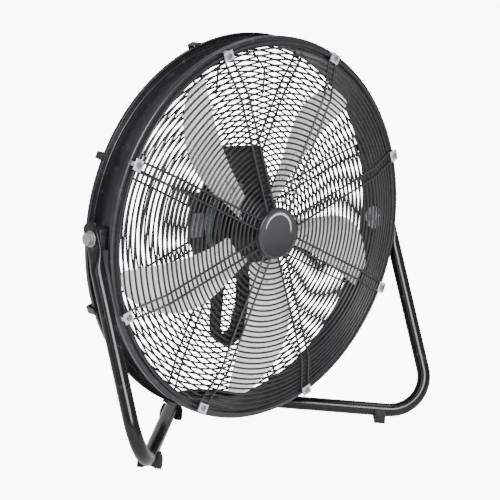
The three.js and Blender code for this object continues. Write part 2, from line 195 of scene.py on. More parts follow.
LABEL = material("label_film", (0.2, 0.245, 0.245), 0.1, 0.45, 0.1, 40, 0.06, 90, **FINE)
STACK = material(
    "laminated_stack", (0.36, 0.43, 0.43), 0.25, 0.5, 0.15, 30, 0.1, 90, 0.00003, 300, stretch=(1, 8, 1)
)
MOTOR = material("motor_enamel", (0.01, 0.01, 0.012), 0, 0.42, 0.2, 25, 0.08, 80, 0.00004, 420, dust=0.04)
PLASTIC = material(
    "moulded_plastic", (0.01, 0.01, 0.011), 0, 0.5, 0.12, 20, 0.06, 110, 0.00003, 1300, scuffs=0.1
)
BADGE = material("satin_badge", (0.01, 0.01, 0.012), 0, 0.3, 0.1, 30, 0.05, 90, **FINE)
MARK = material("pointer_ink", (0.75, 0.75, 0.74), 0, 0.45, 0.05, 200, 0.05, 200, **FINE)
RUBBER = material(
    "black_rubber", (0.007, 0.007, 0.007), 0, 0.75, 0.2, 30, 0.1, 90, 0.00005, 800,
    dust=0.03, scuffs=0.2, ior=1.4,
)
SHEATH = material("cord_sheath", (0.009, 0.009, 0.01), 0, 0.48, 0.15, 40, 0.08, 120, 0.00002, 1100)
BRASS = material("plated_pins", (0.7, 0.66, 0.55), 0.9, 0.28, 0.08, 80, 0.08, 150, **FINE)


# ---------------------------------------------------------------- shapes


def rounded(corners, steps=4):
    """A closed outline from (a, b, radius) corners."""
    points = []
    for i, (a, b, radius) in enumerate(corners):
        here = Vector((a, b))
        before = Vector(corners[i - 1][:2]) - here
        after = Vector(corners[(i + 1) % len(corners)][:2]) - here
        if radius <= 0:
            points.append(here)
            continue
        half = before.angle(after) / 2
        reach = min(radius / math.tan(half), 0.49 * before.length, 0.49 * after.length)
        radius = reach * math.tan(half)
        middle = here + (before.normalized() + after.normalized()).normalized() * radius / math.sin(half)
        start = here + before.normalized() * reach - middle
        end = here + after.normalized() * reach - middle
        first = math.atan2(start.y, start.x)
        swing = (math.atan2(end.y, end.x) - first + math.pi) % (2 * math.pi) - math.pi
        for k in range(steps + 1):
            angle = first + swing * k / steps
            points.append(middle + radius * Vector((math.cos(angle), math.sin(angle))))
    return [(p.x, p.y) for p in points]


def bent(corners, radius, steps=10):
    """Points along straight runs joined by round bends."""
    corners = [Vector(c) for c in corners]
    points = [corners[0]]
    for before, here, after in zip(corners, corners[1:], corners[2:]):
        inward, outward = (here - before).normalized(), (after - here).normalized()
        turn = inward.angle(outward)
        start = here - inward * radius * math.tan(turn / 2)
        side = (outward - inward * outward.dot(inward)).normalized()
        for k in range(steps + 1):
            angle = turn * k / steps
            points.append(start + inward * radius * math.sin(angle) + side * radius * (1 - math.cos(angle)))
    points.append(corners[-1])
    return points


def spread_out(points, step):
    """The same line with a point at least every step."""
    line = [points[0]]
    for a, b in zip(points, points[1:]):
        count = max(1, math.ceil((b - a).length / step))
        line += [a.lerp(b, k / count) for k in range(1, count + 1)]
    return line


class Shape:
    """A mesh being put together, in millimetres."""

    def __init__(self):
        self.points = []
        self.faces = []

    def add(self, points, faces):
        start = len(self.points)
        self.points += [Vector(p) for p in points]
        self.faces += [[start + i for i in face] for face in faces]
        return self

    def join(self, other, matrix=None):
        matrix = matrix or Matrix.Identity(4)
        return self.add([matrix @ p for p in other.points], other.faces)

    def loft(self, sections, along=False):
        """Skin over equal rings of points, back to the first ring or capped at both ends."""
        count = len(sections[0])
        faces = []
        for s in range(len(sections) if along else len(sections) - 1):
            here, following = s * count, (s + 1) % len(sections) * count
            for k in range(count):
                beyond = (k + 1) % count
                faces.append([here + k, here + beyond, following + beyond, following + k])
        if not along:
            faces.append(list(range(count))[::-1])
            faces.append([(len(sections) - 1) * count + k for k in range(count)])
        return self.add([p for section in sections for p in section], faces)

    def turned(self, profile, steps=96):
        """A closed (radius, depth) profile turned about Y."""
        sections = []
        for s in range(steps):
            angle = 2 * math.pi * s / steps
            sections.append([(r * math.cos(angle), y, r * math.sin(angle)) for r, y in profile])
        return self.loft(sections, along=True)

    def wire_ring(self, radius, depth, wire, steps, sides):
        section = []
        for k in range(sides):
            angle = 2 * math.pi * k / sides
            section.append((radius + wire * math.cos(angle), depth + wire * math.sin(angle)))
        return self.turned(section, steps)

    def sweep(self, path, size, sides, side=None):
        """A bar along a path. size is a radius, or a (half side, half up, squareness) for each point."""
        path = [Vector(p) for p in path]
        count = len(path)
        sections = []
        for i, here in enumerate(path):
            after = path[i + 1] if i < count - 1 else here
            before = path[i - 1] if i else here
            along = (after - before).normalized()
            side = side or along.orthogonal()
            side = (side - along * side.dot(along)).normalized()
            up = along.cross(side)
            wide, high, square = size[i] if isinstance(size, list) else (size, size, 1)
            ring = []
            for k in range(sides):
                angle = 2 * math.pi * k / sides
                c, s = math.cos(angle), math.sin(angle)
                c = math.copysign(abs(c) ** square, c)
                s = math.copysign(abs(s) ** square, s)
                ring.append(here + side * wide * c + up * high * s)
            sections.append(ring)
        return self.loft(sections)

    def block(self, low, high, radius, steps=2):
        """A box with rounded edges."""
        mesh = bmesh.new()
        bmesh.ops.create_cube(mesh, size=1)
        for vertex in mesh.verts:
            vertex.co = Vector([(l + h) / 2 + c * (h - l) for l, h, c in zip(low, high, vertex.co)])
        bmesh.ops.bevel(mesh, geom=mesh.edges[:], offset=radius, segments=steps, profile=0.5, affect="EDGES")
        mesh.verts.index_update()
        self.add([v.co.copy() for v in mesh.verts], [[v.index for v in f.verts] for f in mesh.faces])
        mesh.free()
        return self

    def plate(self, loops, front, back, radius):
        """A flat piece with holes, outlined in X and Z, with its edges rounded."""
        curve = bpy.data.curves.new("outline", "CURVE")
        curve.dimensions = "2D"
        curve.fill_mode = "BOTH"
        curve.extrude = (back - front) / 2 - radius
        curve.bevel_depth = radius
        curve.bevel_resolution = 2
        curve.offset = -radius
        for loop in loops:
            spline = curve.splines.new("POLY")
            spline.points.add(len(loop) - 1)
            for point, (x, z) in zip(spline.points, loop):
                point.co = (x, z, 0, 1)
            spline.use_cyclic_u = True
        thing = bpy.data.objects.new("outline", curve)
        mesh = bpy.data.meshes.new_from_object(thing)
        points = [(v.co.x, (front + back) / 2 - v.co.z, v.co.y) for v in mesh.vertices]
        self.add(points, [list(p.vertices) for p in mesh.polygons])
        bpy.data.meshes.remove(mesh)
        bpy.data.curves.remove(curve)
        return self

    def build(self, name, finish, body, slot, *nodes, sharp=32):
        """The finished piece, riding on its body and standing for its CAD nodes."""
        mesh = bpy.data.meshes.new(name)
        mesh.from_pydata([TO_ROW @ p for p in self.points], [], self.faces)
        work = bmesh.new()
        work.from_mesh(mesh)
        bmesh.ops.remove_doubles(work, verts=work.verts[:], dist=2e-6)
        bmesh.ops.dissolve_degenerate(work, edges=work.edges[:], dist=1e-7)
        bmesh.ops.recalc_face_normals(work, faces=work.faces[:])
        work.to_mesh(mesh)
        work.free()
        mesh.polygons.foreach_set("use_smooth", [True] * len(mesh.polygons))
        mesh.set_sharp_from_angle(angle=math.radians(sharp))
        mesh.materials.append(finish)
        piece = bpy.data.objects.new(name, mesh)
        bpy.context.scene.collection.objects.link(piece)
        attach(piece, body)
        if nodes:
            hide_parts(*nodes)
        return piece


def circle(radius, count=48):
    return [
        (radius * math.cos(2 * math.pi * k / count), radius * math.sin(2 * math.pi * k / count))
        for k in range(count)
    ]


def on_drum(angle, depth=0.0, radius=0.0):
    """Local X out along a radius, Y back, Z round the drum."""
    turn = Matrix.Rotation(-math.radians(angle), 4, "Y")
    return turn @ Matrix.Translation((radius, depth, 0))


def along_x(side, y):
    """Local Y points out along the pivot axis."""
    return Matrix(((0, side, 0, 0), (1, 0, 0, y), (0, 0, 1, 0), (0, 0, 0, 1)))


def hanging(x, y, z):
    """Local Y points up, so that a turned shape stands upright."""
    return Matrix(((1, 0, 0, x), (0, 0, 1, y), (0, 1, 0, z), (0, 0, 0, 1)))


def screw(radius, height):
    """A pan-head screw seen along Y, its head towards -Y, with a crossed recess."""
    made = Shape()
    dome = [(1, 0), (1, 0.35), (0.82, 0.8), (0.45, 1)]
    made.turned([(0, 0), *((out * radius, -up * height) for out, up in dome), (0, -height)], 24)
    arm, deep = 0.62 * radius, 0.13 * radius
    for turn in (0, math.pi / 2):
        bar = Shape().block((-arm, -height - 0.12, -deep), (arm, -height + 0.3, deep), 0.05, 1)
        made.join(bar, Matrix.Rotation(turn + 0.5, 4, "Y"))
    return made


# ---------------------------------------------------------------- camera

CAMERA_PLACE = (-1556.5, -1628.6, 382.0)
CAMERA_RIGHT = (0.7364, -0.6723, 0.0767)
CAMERA_UP = (0.0660, 0.1841, 0.9808)
CAMERA_LENS = 115.9

camera = bpy.data.objects.new("camera", bpy.data.cameras.new("camera"))
camera.data.lens = CAMERA_LENS
camera.data.sensor_width = 36
camera.data.clip_end = 200
right = Vector(CAMERA_RIGHT).normalized()
up = (Vector(CAMERA_UP) - right * right.dot(Vector(CAMERA_UP))).normalized()
backward = right.cross(up)
facing = Matrix((right, up, backward)).transposed().to_4x4()
camera.matrix_world = Matrix.Translation(row(*CAMERA_PLACE)) @ facing
bpy.context.scene.collection.objects.link(camera)
bpy.context.scene.camera = camera


# ---------------------------------------------------------------- cord

CORD_RADIUS = 3.5
LEAD_X, LEAD_Y = 36, 110.4
GLAND_TIP = -58
LEAD_BEND = 28
HANK_X = 24
INNER_FOLD, OUTER_FOLD = 21.5, 28.7
HANK_TOP, HANK_BOTTOM = -99, -159
TURN_PITCH = 7.2
BACK_LAYER = 102.9
TAIL_X, TAIL_Y = 78, 101
PLUG_TOP = -170
BACK_SHIFT_TOP = -112
ROUTE_STEP = 6
INNER_TURNS, OUTER_TURNS = 3, 2
RUN_STEPS, FOLD_STEPS = 6, 12
RUN_WANDER = 0.25
CROSSING_DRIFT = -0.6
TAIL_BEND = 30.5


def slack_line():
    """Out of the strain relief and down, easing over to the hank's layer nearest the drum."""
    hook_x = HANK_X + INNER_FOLD
    corners = [
        (LEAD_X, LEAD_Y, GLAND_TIP), (LEAD_X, LEAD_Y, -78.6), (70, LEAD_Y, -94.4), (70, LEAD_Y, -127.9),
        (hook_x, LEAD_Y, -145.1), (hook_x, LEAD_Y, HANK_BOTTOM),
    ]
    line = []
    for p in spread_out(bent(corners, LEAD_BEND, 8), ROUTE_STEP):
        share = min(1, max(0, (BACK_SHIFT_TOP - p.z) / (BACK_SHIFT_TOP - HANK_BOTTOM)))
        ease = share * share * (3 - 2 * share)
        line.append(Vector((p.x, p.y + (BACK_LAYER - LEAD_Y) * ease, p.z)))
    return line


def hank_legs():
    """Folds and runs in order: kind, way (-1 bottom or left, 1 top or right), fold radii, drift."""
    order = [("fold", -1), ("run", -1), ("fold", 1), ("run", 1)]
    legs = [(*leg, INNER_FOLD, INNER_FOLD, -1) for leg in order * INNER_TURNS]
    legs.append(("fold", -1, INNER_FOLD, OUTER_FOLD, CROSSING_DRIFT))
    around = (order * (OUTER_TURNS + 1))[1:-1]
    return legs + [(*leg, OUTER_FOLD, OUTER_FOLD, 1) for leg in around]


def hank_line(y):
    """The points of the hank's turns from depth y, and the depth at their end."""
    straight = HANK_TOP - HANK_BOTTOM
    line = []
    for kind, way, fold_before, fold_after, drift in hank_legs():
        turn_length = 2 * straight + 2 * math.pi * fold_after
        is_run = kind == "run"
        steps = RUN_STEPS if is_run else FOLD_STEPS
        length = straight if is_run else math.pi * (fold_before + fold_after) / 2
        start, end = (HANK_BOTTOM, HANK_TOP) if way < 0 else (HANK_TOP, HANK_BOTTOM)
        for k in range(1, steps + 1):
            share = k / steps
            depth = y + drift * TURN_PITCH * share * length / turn_length
            if is_run:
                bow = math.sin(math.pi * share) * chance.uniform(-RUN_WANDER, RUN_WANDER)
                line.append(Vector((HANK_X + way * fold_before + bow, depth, start + (end - start) * share)))
            else:
                fold = fold_before + (fold_after - fold_before) * share
                angle = math.pi * share
                x = HANK_X + fold * (math.cos(angle) * -way)
                line.append(Vector((x, depth, start + way * fold * math.sin(angle))))
        y += drift * TURN_PITCH * length / turn_length
    return line, y


def hank_route():
    """The cord's line: out of the strain relief, round the hank and down to the plug."""
    turns, y = hank_line(BACK_LAYER)
    side_x = HANK_X + OUTER_FOLD
    corners = [
        (side_x, y, HANK_TOP), (side_x, y, -133.7), (TAIL_X, TAIL_Y, -152.3), (TAIL_X, TAIL_Y, PLUG_TOP - 8),
    ]
    tail = spread_out(bent(corners, TAIL_BEND, 8), ROUTE_STEP)
    return slack_line() + turns + tail[1:]


def smoothed(line):
    """Each point drawn a little towards its neighbours."""
    middle = [(a + 2 * b + c) / 4 for a, b, c in zip(line, line[1:], line[2:])]
    return [line[0], *middle, line[-1]]


route = smoothed(hank_route())
curve = bpy.data.curves.new("mains_cord", "CURVE")
curve.dimensions = "3D"
curve.bevel_depth = CORD_RADIUS * MM
curve.bevel_resolution = 4
curve.use_fill_caps = True
spline = curve.splines.new("POLY")
spline.points.add(len(route) - 1)
for point, place in zip(spline.points, route):
    point.co = (*(TO_ROW @ place), 1)
spline.use_smooth = True
curve.materials.append(SHEATH)
cord = bpy.data.objects.new("mains_cord", curve)
bpy.context.scene.collection.objects.link(cord)
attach(cord, "head")
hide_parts("cord", "cord_hank")


GLAND_TOP = -38.3
GLAND_RIBS, RIB_PITCH = 5, 3


def strain_relief():
    """A tapered, ribbed sleeve where the lead leaves the switch housing."""
    profile = [(0, GLAND_TOP), (7.4, GLAND_TOP), (7.4, GLAND_TOP - 2.4), (6.6, GLAND_TOP - 3.2)]
    for k in range(GLAND_RIBS):
        z = GLAND_TOP - 4 - k * RIB_PITCH
        r = 6.5 - 0.36 * k
        profile += [(r, z), (r, z - 1.7), (r - 1.1, z - 1.9), (r - 1.1, z - 2.8)]
    profile += [(4.6, GLAND_TIP + 0.6), (4.2, GLAND_TIP), (0, GLAND_TIP)]
    sleeve = Shape().join(Shape().turned(profile, 32), hanging(LEAD_X, LEAD_Y, 0))
    return sleeve.build("cord_sleeve", RUBBER, "head", "rubber", "cord_strain_relief")


BOOT_RIBS, BOOT_PITCH = 4, 3.6
GRIP_TOP, GRIP_LENGTH = -17, 26
GRIP_SQUARENESS = 0.55
PIN_X, EARTH_PIN_Y = 6.35, -6.5


def plug_piece():
    """A moulded plug with a ribbed boot; its blades and pin are a piece of their own."""
    boot = [(0, 0), (4.4, 0), (4.9, -0.8)]
    for k in range(BOOT_RIBS):
        z = -1.6 - k * BOOT_PITCH
        r = 5.0 + 0.75 * k
        boot += [(r, z), (r + 0.3, z - 2.2), (r - 0.7, z - 2.5), (r - 0.7, z - 3.3)]
    boot += [(7.6, -16.5), (7.6, -18.5), (0, -18.5)]
    body = Shape().join(Shape().turned(boot, 28), hanging(TAIL_X, TAIL_Y, PLUG_TOP))
    grip = [
        (0, 8.2, 7.2), (0.1, 10.2, 8.4), (0.35, 11.8, 9.3),
        (0.6, 11.2, 8.9), (0.9, 12, 9.5), (1, 11.3, 8.9),
    ]
    sections = []
    for share, wide, thick in grip:
        z = GRIP_TOP - GRIP_LENGTH * share
        ring = []
        for k in range(32):
            angle = 2 * math.pi * k / 32
            c, s = math.cos(angle), math.sin(angle)
            x = wide * math.copysign(abs(c) ** GRIP_SQUARENESS, c)
            y = thick * math.copysign(abs(s) ** GRIP_SQUARENESS, s)
            ring.append((x, y, z))
        sections.append(ring)
    at_plug = Matrix.Translation((TAIL_X, TAIL_Y, PLUG_TOP))
    body.join(Shape().loft(sections), at_plug)
    piece = body.build("plug_body", RUBBER, "head", "rubber", "plug")
    pins = Shape()
    for x in (-PIN_X, PIN_X):
        pins.block((x - 0.8, -1, -58.8), (x + 0.8, 5.3, -42), 0.35, 2)
    earth = Shape().turned([(0, -41.5), (2.4, -41.5), (2.4, -58.5), (1.6, -60.6), (0, -60.6)], 20)
    pins.join(earth, hanging(0, EARTH_PIN_Y, 0))
    placed = Shape().join(pins, at_plug)
    return piece, placed.build("plug_pins", BRASS, "head", "rubber")


STRAP_HALF, STRAP_THICK = 4, 1.1
STRAP_FRONT, STRAP_BACK, STRAP_TOP, STRAP_BOTTOM = 75.0, 107.6, -65.2, -83.0


def tie():
    """A strap round the hank's top fold, its end turned out."""

    def loop(inset, radius):
        front, back = STRAP_FRONT + inset, STRAP_BACK - inset
        top, bottom = STRAP_TOP - inset, STRAP_BOTTOM + inset
        corners = [(front, top, radius), (back, top, radius), (back, bottom, radius), (front, bottom, radius)]
        return rounded(corners, 5)

    def at(x, outline):
        return [(x, y, z) for y, z in outline]

    left, right = HANK_X - STRAP_HALF, HANK_X + STRAP_HALF
    outside, inside = loop(0, 3), loop(STRAP_THICK, 2)
    sections = [at(left, outside), at(right, outside), at(right, inside), at(left, inside)]
    band = Shape().loft(sections, along=True)
    band.block((HANK_X - 3, 73.9, -80), (HANK_X + 3, 75.4, -70), 0.5, 2)
    return band.build("hank_strap", PLASTIC, "head", "black_plastic", "hank_tie")


sleeve = strain_relief()
plug_body, plug_pins = plug_piece()
strap = tie()


# ---------------------------------------------------------------- stand

PIVOT_DEPTH = 30
TUBE_Z = -282
FRONT_CORNER = (284, -104)
REAR_CORNER = 165
TUBE_RADIUS = 10
STAND_BEND = 52
PIVOT_X = 286
TAB_X = 284
TAB_TOP = 22
TAB_HALF_WIDTH, TAB_HALF_THICK = 14, 2
TAB_LENGTH, SWELL_LENGTH, SWELL_STEPS = 14, 34, 10


def stand():
    """One tube from pivot to pivot, its ends pressed flat."""
    fall = (Vector((0, FRONT_CORNER[1] - PIVOT_DEPTH, TUBE_Z))).normalized()

    def upright(side):
        """The flattened end and its swell to the round tube: points, then half sizes and squareness."""
        points, sizes = [], []
        nose = [(0, 7.2), (0.5, 9.6), (1.4, 11.2), (3, 12.8), (6, TAB_HALF_WIDTH)]
        flat = [(down - TAB_TOP, half) for down, half in nose] + [(0, TAB_HALF_WIDTH), (8, TAB_HALF_WIDTH)]
        for along, half in flat:
            points.append(Vector((side * TAB_X, PIVOT_DEPTH, 0)) + fall * along)
            sizes.append((TAB_HALF_THICK, half, 0.5))
        for k in range(SWELL_STEPS + 1):
            share = k / SWELL_STEPS
            ease = share * share * (3 - 2 * share)
            along = TAB_LENGTH + SWELL_LENGTH * share
            x = TAB_X + (PIVOT_X - TAB_X) * ease
            wide = TAB_HALF_THICK + (TUBE_RADIUS - TAB_HALF_THICK) * ease
            high = TAB_HALF_WIDTH + (TUBE_RADIUS - TAB_HALF_WIDTH) * ease
            points.append(Vector((side * x, PIVOT_DEPTH, 0)) + fall * along)
            sizes.append((wide, high, 0.5 + 0.5 * ease))
        return points, sizes

    left, left_sizes = upright(-1)
    right, right_sizes = upright(1)
    x, y = FRONT_CORNER
    corners = [left[-1], (-x, y, TUBE_Z), (0, REAR_CORNER, TUBE_Z), (x, y, TUBE_Z), right[-1]]
    middle = spread_out(bent(corners, STAND_BEND, 18), 25)
    path = left[:-1] + middle + right[:-1][::-1]
    sizes = left_sizes[:-1] + [(TUBE_RADIUS, TUBE_RADIUS, 1)] * len(middle) + right_sizes[:-1][::-1]
    made = Shape().sweep(path, sizes, 32, side=Vector((1, 0, 0)))
    return made.build("stand_frame", GLOSS, "stand", "black_paint", "stand_tube", sharp=50)


FLOOR_Z = -299.5
FOOT_HALF_LENGTH, FOOT_HALF_WIDTH = 16.5, 8.5
ARCH_HALF, ARCH_RISE = 8.5, 6
GROOVE_RADIUS, GROOVE_LIP = 10.4, 2.8
FRONT_FOOT_ALONG, REAR_FOOT_ALONG = 82, 76


def foot(name, x, y, turn):
    """A rubber saddle under the tube, standing on two lugs with an arch between them."""
    bottom = FLOOR_Z - TUBE_Z
    arch = []
    for k in range(9):
        share = k / 8
        arch.append((-ARCH_HALF + 2 * ARCH_HALF * share, bottom + ARCH_RISE * 2 * share * (1 - share)))
    lip = math.asin(GROOVE_LIP / GROOVE_RADIUS)
    saddle = []
    for k in range(17):
        angle = lip + (-math.pi - 2 * lip) * k / 16
        saddle.append((GROOVE_RADIUS * math.cos(angle), GROOVE_RADIUS * math.sin(angle)))
    right = [(FOOT_HALF_LENGTH, bottom), (FOOT_HALF_LENGTH, -6), (13.5, GROOVE_LIP)]
    left = [(-13.5, GROOVE_LIP), (-FOOT_HALF_LENGTH, -6)]
    loop = [(-FOOT_HALF_LENGTH, bottom), *arch, *right, *saddle, *left]
    block = Shape().plate([loop], -FOOT_HALF_WIDTH, FOOT_HALF_WIDTH, 0.7)
    place = Matrix.Translation((x, y, TUBE_Z)) @ Matrix.Rotation(turn, 4, "Z")
    return Shape().join(block, place).build(name + "_saddle", RUBBER, "stand", "rubber", name)


def feet():
    """Two feet under each run of the tube on the floor."""
    run = Vector((FRONT_CORNER[0], REAR_CORNER - FRONT_CORNER[1]))
    turn = math.atan2(run.x, run.y)
    length = run.length
    run.normalize()
    for end, along in (("front", FRONT_FOOT_ALONG), ("rear", length - REAR_FOOT_ALONG)):
        for name, side in (("left", -1), ("right", 1)):
            x = side * (FRONT_CORNER[0] - run.x * along)
            y = FRONT_CORNER[1] + run.y * along
            foot(f"foot_{end}_{name}", x, y, side * turn)


HEXAGON_CHAMFER = 0.07


def hexagon(radius, bottom, top):
    """A hexagon head along Y with its top corners turned off."""
    sections = []
    limit = radius * (1 - HEXAGON_CHAMFER)
    for level in range(3):
        ring = []
        for k in range(48):
            angle = 2 * math.pi * k / 48
            reach = radius * math.cos(math.pi / 6) / math.cos(angle % (math.pi / 3) - math.pi / 6)
            cut = max(0, reach - limit)
            out = reach if level < 2 else min(reach, limit)
            y = (bottom, top - cut * 0.6 - 0.15, top)[level]
            ring.append((out * math.cos(angle), y, out * math.sin(angle)))
        sections.append(ring)
    sections.append([(0.86 * x, y, 0.86 * z) for x, y, z in sections[-1]])
    return Shape().loft(sections)


def washer(inner, outer, front, back):
    bore_edge, edge = 0.2, 0.4
    corners = [(inner, front, bore_edge), (outer, front, edge), (outer, back, edge), (inner, back, bore_edge)]
    return Shape().turned(rounded(corners, 3), 64)


def faced_back(head, y):
    """A head turned to face -Y from depth y."""
    return Shape().join(head, Matrix.Translation((0, y, 0)) @ Matrix.Scale(-1, 4, (0, 1, 0)))


WASHER_BORE = 5.4
BOLT_HEX = 9.2
BOLT_RADIUS, THREAD_ROOT, THREAD_TURNS = 5, 4.4, 9
BOLT_TIP, NUT_MIDDLE = 247.5, 252.85


def pivots():
    """On each side: outer washer, bolt, spacer block, wide inner washer and nut."""
    for name, side in (("left", -1), ("right", 1)):
        place = along_x(side, PIVOT_DEPTH)
        shape = Shape().join(washer(WASHER_BORE, 11, 286.3, 287.9), place)
        shape.build(f"stand_washer_{name}", DULL_ZINC, "stand", "zinc", f"pivot_washer_{name}")
        bolt = hexagon(BOLT_HEX, 288.6, 294.6)
        bolt.turned([(0, 288.2), (8, 288.2), (8, 288.8), (0, 288.8)], 40)
        threads = [(0, BOLT_TIP), (4.2, BOLT_TIP)]
        for k in range(THREAD_TURNS):
            threads += [(BOLT_RADIUS, 248.1 + k), (THREAD_ROOT, 248.6 + k)]
        bolt.turned(threads + [(BOLT_RADIUS, 257.2), (BOLT_RADIUS, 288.5), (0, 288.5)], 32)
        whole = Shape().join(bolt, place)
        whole.build(f"hex_bolt_{name}", DULL_ZINC, "head", "zinc", f"pivot_bolt_{name}")
        block = Shape().block((-13, 262.5, -14), (13, 281.7, 14), 1.6, 3)
        for z in (-8.5, 8.5):
            block.block((-11, 264, z - 1.2), (-13.4, 280, z + 1.2), 0.3, 1)
        spacer = Shape().join(block, place)
        spacer.build(f"spacer_{name}", PLASTIC, "head", "black_plastic", f"pivot_block_{name}")
        inner = Shape().join(washer(WASHER_BORE, 17.5, 256.4, 258.4), place)
        inner.build(f"wide_washer_{name}", ZINC, "head", "zinc", f"inner_washer_{name}")
        nut = Shape().join(faced_back(hexagon(BOLT_HEX, 249.6, 256.1), 2 * NUT_MIDDLE), place)
        nut.build(f"lock_nut_{name}", ZINC, "head", "zinc", f"pivot_nut_{name}")


# ---------------------------------------------------------------- drum and guards


BAND_RADIUS, RIM_RADIUS, DRUM_DEPTH = 260, 275, 60
SHEET_METAL, LIP_METAL, LIP_LENGTH = 1.8, 1.6, 8
SHEET_BEND, RIM_BEND, LIP_EDGE = 1.8, 3.2, 0.6


def drum():
    """A rolled band, flanged outwards with a turned lip at both ends."""
    band_out, lip_in = BAND_RADIUS + 2, RIM_RADIUS - LIP_METAL
    front = [
        (BAND_RADIUS, 0, 1.6), (RIM_RADIUS, 0, RIM_BEND), (RIM_RADIUS, LIP_LENGTH, LIP_EDGE),
        (lip_in, LIP_LENGTH, LIP_EDGE), (lip_in, SHEET_METAL, 1.4), (band_out, SHEET_METAL, SHEET_BEND),
    ]
    rear = [(radius, DRUM_DEPTH - depth, bend) for radius, depth, bend in reversed(front)]
    made = Shape().turned(rounded(front + rear, 5), 256)
    return made.build("drum_band", PAINT, "head", "black_paint", "drum_shell", sharp=40)


SPOKES = 8
FIRST_SPOKE = 22.5
RING_WIRE, SPOKE_WIRE = 1.5, 1.6
PAIR_HALF = 7
FLAT_RADIUS, EDGE_RADIUS, OUTER_RING = 207, 257, 266
OUTER_RING_WIRE, RING_WANDER, WELD_SINK = 1.7, 0.15, 0.2
SPOKE_BEND = 12
BRACKET_DEPTH, BRACKET_WIRE = 75.6, 1.5


def spoke_turn(index, depth=0.0, radius=0.0):
    """The place of a spoke, and of the clips at its end."""
    return on_drum(FIRST_SPOKE + 360 / SPOKES * index, depth, radius)


def guard(flat, edge, first, count, outward, start):
    """Rings with pairs of spokes on their outer side, flat in the middle and turned in at the edge."""

    def depth_at(radius):
        share = min(1, max(0, (radius - FLAT_RADIUS) / (EDGE_RADIUS - FLAT_RADIUS)))
        return flat + (edge - flat) * share

    made = Shape()
    step = (OUTER_RING - first) / (count - 1)
    for k in range(count):
        radius = first + step * k
        wire = RING_WIRE if k < count - 1 else OUTER_RING_WIRE
        offset = chance.uniform(-RING_WANDER, RING_WANDER)
        made.wire_ring(radius, depth_at(radius) + offset, wire, 192, 8)
    lift = outward * (RING_WIRE + SPOKE_WIRE - WELD_SINK)
    profile = [*start, (FLAT_RADIUS, flat), (EDGE_RADIUS, edge), (OUTER_RING + 1.5, edge)]
    for k in range(SPOKES):
        turn = spoke_turn(k)
        for side in (-PAIR_HALF, PAIR_HALF):
            line = bent([(r, d + lift, side) for r, d in profile], SPOKE_BEND, 5)
            made.join(Shape().sweep(spread_out(line, 40), SPOKE_WIRE, 10), turn)
    return made


def front_guard():
    made = guard(-19.6, -4.2, 44, 30, -1, [(26, -19.6)])
    return made.build("front_grille", WIRE, "head", "black_wire", "front_guard", sharp=60)


def rear_guard():
    """The rear grille, with a small wire bracket across its top."""
    made = guard(70.3, 63.2, 92, 23, 1, [(76, 67.6), (90, 70.3)])
    half = [(45, 184), (45, 221), (20, 246)]
    corners = [(-x, BRACKET_DEPTH, z) for x, z in half] + [(x, BRACKET_DEPTH, z) for x, z in reversed(half)]
    made.sweep(spread_out(bent(corners, 12, 6), 20), BRACKET_WIRE, 10)
    return made.build("rear_grille", WIRE, "head", "black_wire", "rear_guard", sharp=60)


STRIP_EDGE, EDGE_PULL = 0.35, 0.03


def bar_profile(corners, width):
    """A folded strip: an outline in radius and depth with a width across, drawn in a little at its edges."""
    loop = rounded(corners, 3)
    half = width / 2
    middle_a = sum(a for a, _ in loop) / len(loop)
    middle_b = sum(b for _, b in loop) / len(loop)
    sections = []
    for z, edge in ((-half, STRIP_EDGE), (-half + STRIP_EDGE, 0), (half - STRIP_EDGE, 0), (half, STRIP_EDGE)):
        ring = []
        for a, b in loop:
            ring.append((a + (middle_a - a) * edge * EDGE_PULL, b + (middle_b - b) * edge * EDGE_PULL, z))
        sections.append(ring)
    return Shape().loft(sections)


CLIP_FACE, CLIP_WIDTH, CLIP_LEG_WIDTH = -9.8, 16, 6
CLIP_SCREW_RADIUS = 265.8
REAR_CLIP_WIDTH, REAR_SCREW_RADIUS, REAR_CLIP_FACE = 10, 266.5, 69.0


def front_clip(index):
    """A folded zinc clip with a screw, holding the front guard to the drum's flange."""
    face = [(272.8, CLIP_FACE, 0.6), (259.2, CLIP_FACE, 0.6), (259.2, -8.3, 0.4), (272.8, -8.3, 0.4)]
    leg = [(272.4, -0.3, 0.3), (272.4, -9.2, 0.5), (271.0, -9.2, 0.5), (271.0, -0.3, 0.3)]
    made = bar_profile(face, CLIP_WIDTH).join(bar_profile(leg, CLIP_LEG_WIDTH))
    head = Shape().join(screw(4.3, 2.4), Matrix.Rotation(chance.uniform(0, 1.5), 4, "Y"))
    head.turned([(0, -0.2), (2.1, -0.2), (2.1, 10.1), (0, 10.1)], 16)
    fastener = Shape().join(head, spoke_turn(index, CLIP_FACE, CLIP_SCREW_RADIUS))
    fastener.build(f"clip_screw_{index + 1}", STEEL, "head", "steel")
    whole = Shape().join(made, spoke_turn(index))
    return whole.build(f"zinc_clip_{index + 1}", ZINC, "head", "zinc", f"front_clip_{index + 1}")


def rear_clip(index):
    """A small black clip over the rear guard's outer ring and the rear lip."""
    made = bar_profile([
        (260, 67.6, 0.4), (273.8, 67.6, 0.5), (276.6, 61.0, 0.5), (276.6, 51, 0.4), (278, 51, 0.4),
        (278, REAR_CLIP_FACE, 1.6), (260, REAR_CLIP_FACE, 0.4),
    ], REAR_CLIP_WIDTH)
    head = Shape().join(screw(3.6, 1.8), Matrix.Rotation(math.pi, 4, "Z"))
    made.join(head, Matrix.Translation((REAR_SCREW_RADIUS, REAR_CLIP_FACE, 0)))
    whole = Shape().join(made, spoke_turn(index))
    return whole.build(f"black_clip_{index + 1}", PAINT, "head", "black_paint", f"rear_clip_{index + 1}")


